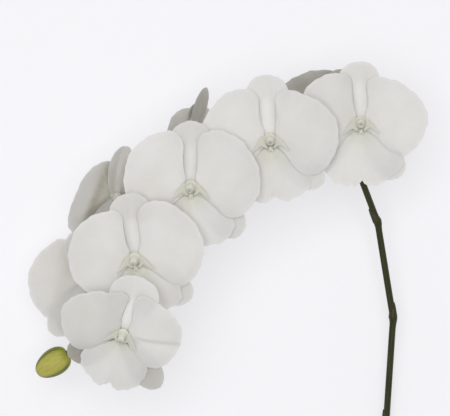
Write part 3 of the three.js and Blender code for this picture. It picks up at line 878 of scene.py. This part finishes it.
# %% The table of blooms
BLOOMS = [
    dict(
        at=(98.8, 62.5, 85), faces=(-0.06, 0.03, 1), turn=2, size=0.97, phase=0.2,
        spread=(3, 5), crowns=(0.97, 0.84), laterals=(128, 147), lip=(1, 1.05),
    ),
    dict(
        at=(89, 78.2, 31.33), faces=(0.17, 0.75, -0.64), turn=16, size=0.96, phase=1.1, tone=0.38, olive_shade=0.4,
        spread=(0, 12),
    ),
    dict(at=(32.5, 49.9, 95.5), faces=(-0.02, -0.06, 1), turn=4, phase=2.3, spread=(10, 8.5), crowns=(1, 0.87)),
    dict(
        at=(-25.6, 51.2, 37.971), faces=(-0.84, 0.26, -0.48), turn=-9.5, size=0.9, phase=3.4, tone=0.7, olive_shade=0.3,
        spread=(31, -10), crowns=(0.6, 0.68), laterals=(136, 150), dorsal=0.68, sepal_shades=(0.48, 0.48, 0.48),
    ),
    dict(at=(-24.5, 15.9, 99), faces=(-0.1, -0.1, 1), turn=1, phase=4.6, sepal_shades=(0.84, 0.84, 0.84)),
    dict(
        at=(-83.8, 9.7, 34.898), faces=(-0.7, 0.42, -0.58), turn=-20, size=0.97, phase=5.2, tone=0.88, olive_shade=0.64,
        spread=(6, 5), crowns=(0.75, 0.93), dorsal=0.74,
    ),
    dict(
        at=(-64.8, -36, 101), faces=(-0.12, -0.2, 1), turn=5, phase=6.1,
        spread=(7, 0), crowns=(0.93, 1), sepal_shades=(0.87, 0.88, 0.88),
    ),
    dict(at=(-107.5, -58.5, 19.052), faces=(-0.45, -0.02, -0.89), turn=-6, size=0.92, phase=7.7, olive_shade=0.08),
    dict(
        at=(-73.3, -90.1, 104), faces=(-0.1, -0.36, 0.93), turn=-18, size=0.94, phase=8.4, tone=0.98,
        spread=(2, -2), crowns=(0.72, 0.78), reaches=(1, 0.9), corner=3.6, laterals=(136, 138),
        dorsal=1.2, right_lateral=1.1, lip=(0.88, 1.1), sepal_shades=(1, 0.55, 0.17),
    ),
]
# Relief of single petals: a fold across one, and finer scallops on another.
OWN_RELIEF = {
    (9, "right"): {"Pleat": 4.6, "Pleat angle": 0.14, "Pleat at": 3.4, "Pleat start": 2, "Pleat reach": 9},
    (8, "right"): {"Flute": 0.3, "Flutes": 31},
}
print("blooms:", len(BLOOMS))

# %% [markdown]
# ## From a row to a bloom
# Three angles could turn a bloom, but a direction is easier to read off a picture. A bloom faces its way, keeps
# its dorsal sepal as upright in the picture as that allows, and is then turned. Its blades are made in its own
# frame, and the matrix takes them all to their places in metres.


# %% The maker of blooms
def bloom_matrix(at, faces, turn, size):
    facing = Vector(faces).normalized()
    up = (Y - facing * Y.dot(facing)).normalized()
    basis = Matrix((up.cross(facing), up, facing)).transposed().to_4x4()
    spin = Matrix.Rotation(math.radians(turn), 4, "Z")
    return Matrix.Scale(MM, 4) @ Matrix.Translation(Vector(at) + MIDDLE) @ basis @ spin @ Matrix.Scale(size, 4)


def bloom(
    number, at, faces, turn, phase, size=1, tone=1.0, olive_shade=0.2, spread=(0, 0), crowns=(1, 1), reaches=(1, 1),
    corner=0, dorsal=1, laterals=(136, 136), right_lateral=1, lip=(1, 1), sepal_shades=(0.95, 0.92, 0.92),
):
    def give(name, parts, kind):
        piece(f"bloom_{number}_{name}", parts, f"bloom_{number}_{kind}", where, tone, olive_shade)

    where = bloom_matrix(at, faces, turn, size)
    for i, (side, word, shift) in enumerate(((-1, "left", 0), (1, "right", 1.7))):
        own = OWN_RELIEF.get((number, word), {})
        blade = petal(side, spread[i], crowns[i], reaches[i], phase + shift, corner, own)
        give(f"{word}_petal", [blade], f"petal_{word}")
    give("calyx", [
        sepal(DORSAL_LENGTH, DORSAL_HALF * dorsal, 0, phase + 0.6, sepal_shades[0]),
        sepal(LATERAL_LENGTH * right_lateral, LATERAL_HALF, laterals[1], phase + 2.2, sepal_shades[1]),
        sepal(LATERAL_LENGTH, LATERAL_HALF, -laterals[0], phase + 3.9, sepal_shades[2]),
        receptacle(),
    ], "sepals")
    lobes = [side_lobe(1, phase), side_lobe(-1, phase + 1)]
    give("whole_lip", [lip_blade(phase, lip), *lobes, *callus()], "lip")
    give("column_with_cap", column(), "column")
    return where


bloom_places = {number: bloom(number, **row) for number, row in enumerate(BLOOMS, 1)}
print("bloom pieces:", len(made_pieces), "faces:", sum(len(o.data.polygons) for o in made_pieces))

# %% [markdown]
# ## The spike and its stalks
# The spike is a rod along a line that is straight between its nodes and turns at them, and each bloom's stalk is a
# thinner rod. A curve with a bevel would give smooth round rods. One Geometry Nodes tree makes them fluted as
# well, and thicker at each node: it turns a line of points into a curve and sweeps a fluted ring along it, scaled
# by the share of the length and the distance to the nearest node.

# %% The stalk tree
STALK = {
    "Foot radius": 2.5, "Tip radius": 1.5, "Taper start": 0.35, "Taper end": 1.0,
    "Swelling": 0.28, "Node length": 3.2, "Sides": 20.0, "Flute": 0.02, "Flutes": 7.0,
}


def stalk_tree():
    t = Shaping("stalk", STALK)
    share, near = t.carried("share"), t.carried("near")
    taper = t.add("ShaderNodeMapRange", None, {
        "Value": share, "From Min": t["Taper start"], "From Max": t["Taper end"],
        "To Min": t["Foot radius"], "To Max": t["Tip radius"],
    })
    swelling = 1 + t["Swelling"] * t.math("EXPONENT", -((near / t["Node length"]) ** 2))
    line = t.add("GeometryNodeMeshToCurve", None, {"Mesh": t["Geometry"]})
    ring = t.add("GeometryNodeCurvePrimitiveCircle", None, {"Resolution": t["Sides"], "Radius": 1.0})
    rx, ry, _ = t.split(t.add("GeometryNodeInputPosition"))
    round_it = t.math("ARCTAN2", ry, rx)
    ring = t.add("GeometryNodeStoreNamedAttribute", {"data_type": "FLOAT", "domain": "POINT"}, {
        "Geometry": ring, "Name": "turn", "Value": round_it / FULL_TURN + 0.5,
    })
    push = t["Flute"] * t.math("COSINE", round_it * t["Flutes"])
    ring = t.add("GeometryNodeSetPosition", None, {"Geometry": ring, "Offset": t.join(rx * push, ry * push, 0.0)})
    rod = t.add("GeometryNodeCurveToMesh", None, {
        "Curve": line, "Profile Curve": ring, "Scale": taper * swelling, "Fill Caps": True,
    })
    t.end(t.add("GeometryNodeSetShadeSmooth", None, {"Geometry": rod}))
    return t


stalk = stalk_tree()
print("stalk tree:", len(stalk.tree.nodes), "nodes")

# %% [markdown]
# ### The finish of the stem and the bud
# The stem is a dark, slightly glossy olive green with fine paler streaks along it, brown specks, and dry brown tips
# on its sheaths and bracts. The bud is yellow green on its sepals' middles, and green towards their seams and its
# two ends. Its seams are dark olive, partly their own colour and partly painted shade, as two of them lie near its
# outline, and painted shade darkens its flanks. Streaks could be drawn on an unrolled map, which has a seam where
# its ends meet. They read their noise round a circle instead, which has none.

# %% Finishes of the stem and the bud
STEM_DARK = (0.022, 0.023, 0.008, 1)
STEM_LIGHT = (0.062, 0.066, 0.018, 1)
STEM_BROWN = (0.085, 0.060, 0.030, 1)
BUD_YELLOW = (0.560, 0.515, 0.125, 1)
BUD_GREEN = (0.310, 0.335, 0.020, 1)
# BUD_SEAM_AND_SHADE: the dark olive of the seams, and painted shade down the flanks.
BUD_SEAM_AND_SHADE = (0.060, 0.075, 0.012, 1)
BUD_FACE = 0.25  # the turn round the bud that faces upwards


def streaks(s, turn, wide, along, *grain):
    """Noise that runs round a rod without a seam, drawn out along it."""
    turn = turn * FULL_TURN
    return s.noise(s.join(s.math("COSINE", turn) * wide, s.math("SINE", turn) * wide, along), *grain)


def stem_finish():
    s = Finish("stem skin", Specular_IOR_Level=0.25)
    streak = streaks(s, s.value("turn"), 3, s.value("along") * 0.03, 2.0, 4.0, 0.6)
    spot = s.noise(s.place(), 700.0, 2.0, 0.5)
    colour = s.mix(s.smooth(streak, 0.35, 0.7), STEM_DARK, STEM_LIGHT)
    colour = s.mix(s.value("dry") * (0.5 + 0.5 * spot), colour, STEM_BROWN)
    colour = s.mix(s.smooth(spot, 0.62, 0.75) * 0.35, colour, STEM_BROWN)
    return s.finish(colour, 0.36 + 0.2 * spot, streak * 0.8 + spot * 0.3, 0.0003)


def bud_finish():
    s = Finish(
        "bud skin", Subsurface_Weight=0.15, Subsurface_Scale=0.002, Subsurface_Radius=(0.8, 1.0, 0.3),
        Specular_IOR_Level=0.3,
    )
    place = s.place()
    turn, up = s.value("turn"), s.value("share")
    past = (turn - BUD_FACE) * FULL_TURN
    bend = s.noise(place, 120.0, 3.0, 0.55)
    seam = abs(s.math("COSINE", past * 1.5 + (bend - 0.5) * 0.25))
    streak = streaks(s, turn, 6, up * 2, 2.5, 3.0)
    colour = s.mix(s.smooth(streak, 0.35, 0.7) * 0.5, BUD_YELLOW, BUD_GREEN)
    colour = s.mix(1 - s.smooth(seam, 0.1, 0.75), colour, BUD_GREEN)
    # The seams are dark olive, partly their own colour and partly painted shade, as two of them lie near the bud's
    # outline.
    colour = s.mix((1 - s.smooth(seam, 0.0, 0.22)) * 0.85, colour, BUD_SEAM_AND_SHADE)
    # Painted shade down the flanks, where the bud turns away from the light towards its outline.
    flank_shade = 1 - s.smooth(abs(s.math("COSINE", past)), 0.22, 0.5)
    colour = s.mix(flank_shade * 0.7, colour, BUD_SEAM_AND_SHADE)
    tips = s.smooth(up, 0.86, 1.0) + (1 - s.smooth(up, 0.0, 0.16))
    colour = s.mix(tips * 0.7, colour, BUD_GREEN)
    return s.finish(colour, 0.38 + 0.2 * bend, streak * 0.7 + s.noise(place, 1500.0) * 0.2, 0.0003)


stem_skin, bud_skin = stem_finish(), bud_finish()
print("finishes:", stem_skin.name, bud_skin.name)

# %% [markdown]
# ### The spike's line
# A real spike grows straight from node to node and turns at each. One smooth curve through the nodes would look
# like bent wire, so points just before and after each node keep the bends short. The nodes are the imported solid's,
# from the cut end to the bud. A row gives a node's place, the side on which its sheath stands, and the number of
# the bloom whose stalk leaves it, with 0 for none.

# %% The spike's line
SPIKE = [
    ((119, -239.7, 2.5), 0, 0), ((123.1, -165.9, 10), 1, 0), ((127.7, -83.6, 20), -1, 0), ((114.9, -10.5, 33), 1, 0),
    ((99.5, 28, 44), 0, 2), ((90, 50.5, 52), 0, 1), ((50, 67.5, 60.5), 0, 3), ((6, 56, 63), 0, 4),
    ((-14.8, 44.4, 63), 0, 5), ((-50, 10, 61), 0, 6), ((-66.6, -10.4, 58), 0, 7), ((-84, -42, 54.5), 0, 8),
    ((-92.5, -66.6, 53), 0, 9), ((-105, -96, 51), 0, 0),
]
STRAIGHT = 0.12  # share of the way between two nodes to the points beside them
FAR_AWAY = 1e3  # stands for the distance to a node where there is none

node_points = [Vector(at) for at, _, _ in SPIKE]


def curve_through(points, fine):
    """A centripetal curve through points, with some steps on each piece."""
    ends = [points[0] * 2 - points[1], *points, points[-1] * 2 - points[-2]]
    line = []
    for p, a, b, c in zip(ends, ends[1:], ends[2:], ends[3:]):
        before, here, after = ((q - r).length ** 0.5 for q, r in ((a, p), (b, a), (c, b)))
        first = ((a - p) / before - (b - p) / (before + here) + (b - a) / here) * here
        last = ((b - a) / here - (c - a) / (here + after) + (c - b) / after) * here
        line += [cubic(a, b, first, last, step / fine) for step in range(fine)]
    return [*line, points[-1]]


def bends():
    for a, b in zip(node_points, node_points[1:]):
        yield from (a, a.lerp(b, STRAIGHT), a.lerp(b, 1 - STRAIGHT))
    yield node_points[-1]


def line_mesh(points, near=None):
    """A line of points that carries its share, its length so far and the distance to the nearest node."""
    mesh = bpy.data.meshes.new("line")
    mesh.from_pydata([tuple(p) for p in points], [(i, i + 1) for i in range(len(points) - 1)], [])
    run = [0.0]
    for a, b in zip(points, points[1:]):
        run.append(run[-1] + (b - a).length)
    store(mesh, "share", [r / run[-1] for r in run])
    store(mesh, "along", run)
    store(mesh, "dry", [0.0] * len(run))
    store(mesh, "near", [min((n - p).length for n in near) if near else FAR_AWAY for p in points])
    return mesh


spike_line = curve_through(list(bends()), 5)
spike_rod = shaped(line_mesh(spike_line, node_points[1:-1]), stalk, {}, stem_skin)
print("spike line:", len(spike_line), "points")

# %% [markdown]
# ### Sheaths and bracts
# Both are leaf scales with a dry point. A sheath clasps the spike above each of the three lower nodes, and a small
# bract stands under each stalk. A thin blade could be wrapped round the stem, but a loft of ovals that move off
# its axis hugs it as it is. A sheath's rows give a share of its length, a shift and a radius, and a bract's give a
# share and two half widths.

# %% Sheaths and bracts
SHEATH = [(0, 0, 3.2), (0.08, 0.05, 3.4), (0.3, 0.35, 3.1), (0.65, 1.1, 2.3), (0.9, 2.2, 1.0), (1, 2.6, 0.35)]
SHEATH_LENGTH = 12
BRACT = [(-0.2, 1.4, 0.7), (0, 1.9, 0.9), (0.4, 2.1, 1), (0.8, 1.1, 0.6), (1, 0.3, 0.3)]
BRACT_LENGTH, BRACT_DROP = 6, 1.6


def growth_at(i):
    return (node_points[i + 1] - node_points[i]).normalized()


def scale(name, rings, dry):
    mesh = loft(name, rings, stem_skin)
    store(mesh, "along", [v.co.length for v in mesh.vertices])
    store(mesh, "dry", [dry * i / (len(rings) - 1) for i in range(len(rings)) for _ in rings[0]])
    return mesh


def sheath(i, side):
    axis = growth_at(i) * SHEATH_LENGTH
    across = Z.cross(axis).normalized() * side
    up = growth_at(i).cross(across)
    return scale("sheath", [
        oval(node_points[i] + axis * share + across * shift, across * radius, up * radius, 20)
        for share, shift, radius in eased(SHEATH, 15)
    ], 1.0)


def bract(root, direction):
    across = direction.cross(Z).normalized()
    up = across.cross(direction)
    low = root - up * BRACT_DROP
    return scale("bract", [
        oval(low + direction * share * BRACT_LENGTH, across * wide, up * thick, 14)
        for share, wide, thick in eased(BRACT, 12)
    ], 0.8)


print("scales: sheath, bract")

# %% [markdown]
# ### The stalks of the blooms
# Each pedicel leaves the spike along its growth, ends square on its bloom, and swells into the ovary below it. A
# straight rod would meet its bloom at a slant, so it follows a curve with two handles: one leans along the spike,
# and the other points out of the bloom's back.

# %% The maker of stalks
SEAT_GAP, PEDICEL_DEPTH = 0.3, 9


def bezier(a, b, c, d, steps):
    for i in range(steps + 1):
        t = i / steps
        yield a * (1 - t) ** 3 + b * 3 * t * (1 - t) ** 2 + c * 3 * t * t * (1 - t) + d * t ** 3


def pedicel(root, growth, end, facing):
    reach = (end - root).length
    leaving = ((end - root).normalized() + growth * 0.5).normalized()
    line = list(bezier(root, root + leaving * reach * 0.35, end - facing * reach * 0.42, end, 22))
    sizes = {
        "Foot radius": 1.35, "Tip radius": 2.1, "Taper start": 0.35, "Taper end": 0.9, "Swelling": 0,
        "Sides": 16, "Flute": 0.05, "Flutes": 6,
    }
    return [shaped(line_mesh(line), stalk, sizes, stem_skin), bract(root, leaving)]


print("a stalk can join any two places")

# %% [markdown]
# ### The whole spike
# The rod, its sheaths, the nine stalks and the bud's own are one grown piece on the plant, so they are joined into
# one here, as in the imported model. The bud's stalk leaves just before the spike's last point.

# %% The whole spike
BUD_BASE, BUD_TIP = Vector((-117.6, -108.6, 50)), Vector((-140.2, -123.4, 48))
TO_FRAME = Matrix.Scale(MM, 4) @ Matrix.Translation(MIDDLE)


def spike_parts():
    parts = [spike_rod]
    for i, (_, side, number) in enumerate(SPIKE):
        if side:
            parts.append(sheath(i, side))
        if number:
            where = bloom_places[number]
            facing = (where.to_3x3() @ Z).normalized()
            seat = where @ Vector((0, 0, -PEDICEL_DEPTH)) / MM - MIDDLE - facing * SEAT_GAP
            parts += pedicel(node_points[i], growth_at(i), seat, facing)
    root = node_points[-1].lerp(node_points[-2], 0.04)
    facing = (BUD_TIP - BUD_BASE).normalized()
    return parts + pedicel(root, growth_at(len(SPIKE) - 2), BUD_BASE - facing * SEAT_GAP, facing)


spike = piece("whole_spike", spike_parts(), "flower_spike", TO_FRAME)
print("spike:", len(spike.data.polygons), "faces")

# %% [markdown]
# ## The bud
# Three sepals close over the bud like shutters. Each bulges a little and meets the next in a shallow seam, and
# their tips make a small beak. Three blades could be laid edge to edge, but only their outsides show, so one loft
# whose radius changes on the way round is enough.

# %% Bud
BUD_LENGTH, BUD_RADIUS = 26.5, 10.2
BUD_LEAN, BUD_BLUNT = 0.8, 0.42
BUD_FOOT, BUD_REST = 0.03, 0.95  # where the profile's arc starts, and how much of it there is
BULGE, SEAM_DEPTH, SEAM_WIDTH = 0.04, 0.04, 0.12
BUD_STEPS = 36


def bud_radius(share):
    """The radius round the bud at a share of its length."""
    full = BUD_RADIUS * math.sin(math.pi * (BUD_FOOT + BUD_REST * share) ** BUD_LEAN) ** BUD_BLUNT

    def radius(angle):
        past = angle - BUD_FACE * FULL_TURN
        seam = SEAM_DEPTH * math.exp(-((math.cos(1.5 * past) / SEAM_WIDTH) ** 2))
        return full * (1 + BULGE * math.cos(3 * past) - seam)

    return radius


def bud():
    axis = (BUD_TIP - BUD_BASE).normalized()
    across = Z.cross(axis).normalized()
    up = axis.cross(across)
    shares = [step / BUD_STEPS for step in range(BUD_STEPS + 1)]
    rings = [oval(BUD_BASE + axis * share * BUD_LENGTH, across, up, 60, bud_radius(share)) for share in shares]
    return loft("bud", rings, bud_skin)


flower_bud = piece("closed_bud", [bud()], "bud", TO_FRAME)
print("bud:", len(flower_bud.data.polygons), "faces")

# %% [markdown]
# ## The table
# The stem lies on a plain pale table. The picture's own ground is nearly white. A stronger lamp could make the
# table white, but the petals would lose their shades, so the table glows a little, which also keeps the shadow on
# it faint.

# %% The table
TABLE_SIZE = 24
TABLE_DIM, TABLE_PALE = (0.495, 0.485, 0.50, 1), (0.505, 0.495, 0.51, 1)
TABLE_GLOW, GLOW_STRENGTH = (0.957, 0.967, 1.0, 1), 0.53

table_mesh = bpy.data.meshes.new("table")
corners = [(x * TABLE_SIZE / 2, y * TABLE_SIZE / 2, 0) for x, y in ((-1, -1), (1, -1), (1, 1), (-1, 1))]
table_mesh.from_pydata(corners, [], [(0, 1, 2, 3)])
table = bpy.data.objects.new("table", table_mesh)
scene.collection.objects.link(table)
ground = Finish(
    "table top", Roughness=0.8, Specular_IOR_Level=0.1, Emission_Color=TABLE_GLOW, Emission_Strength=GLOW_STRENGTH,
)
table_mesh.materials.append(ground.finish(ground.mix(ground.noise(ground.place(), 30.0), TABLE_DIM, TABLE_PALE)))
print("table:", TABLE_SIZE, "m wide")

# %% [markdown]
# ## The light
# The light is even and soft: a white surround, and one broad lamp high above the arch, a little to the picture's
# upper left, so that overlapping blades part by faint lines. A small lamp or a sun would show the relief better,
# but it would cast hard shadows, and the picture has none.

# %% The light
SURROUND = 0.43
LAMP_PLACE = Vector((-0.15, 0.24, 2.3))
LAMP_SIZE, LAMP_POWER = 1.8, 25

scene.view_settings.view_transform = "Standard"
scene.cycles.use_denoising = True
scene.world = bpy.data.worlds.new("studio")
scene.world.use_nodes = True
scene.world.node_tree.nodes["Background"].inputs["Color"].default_value = (1, 1, 1, 1)
scene.world.node_tree.nodes["Background"].inputs["Strength"].default_value = SURROUND

lamp = bpy.data.objects.new("broad lamp", bpy.data.lights.new("broad lamp", "AREA"))
lamp.data.size = LAMP_SIZE
lamp.data.energy = LAMP_POWER
lamp.location = LAMP_PLACE
lamp.rotation_euler = (-LAMP_PLACE).to_track_quat("-Z", "Y").to_euler()
scene.collection.objects.link(lamp)
print("light: a surround at", SURROUND, "and a lamp of", LAMP_POWER, "W")

# %% [markdown]
# ## The pieces
# The dressed stem has to stay in the imported solids' box.

# %% Count the pieces
print("pieces:", len(made_pieces))
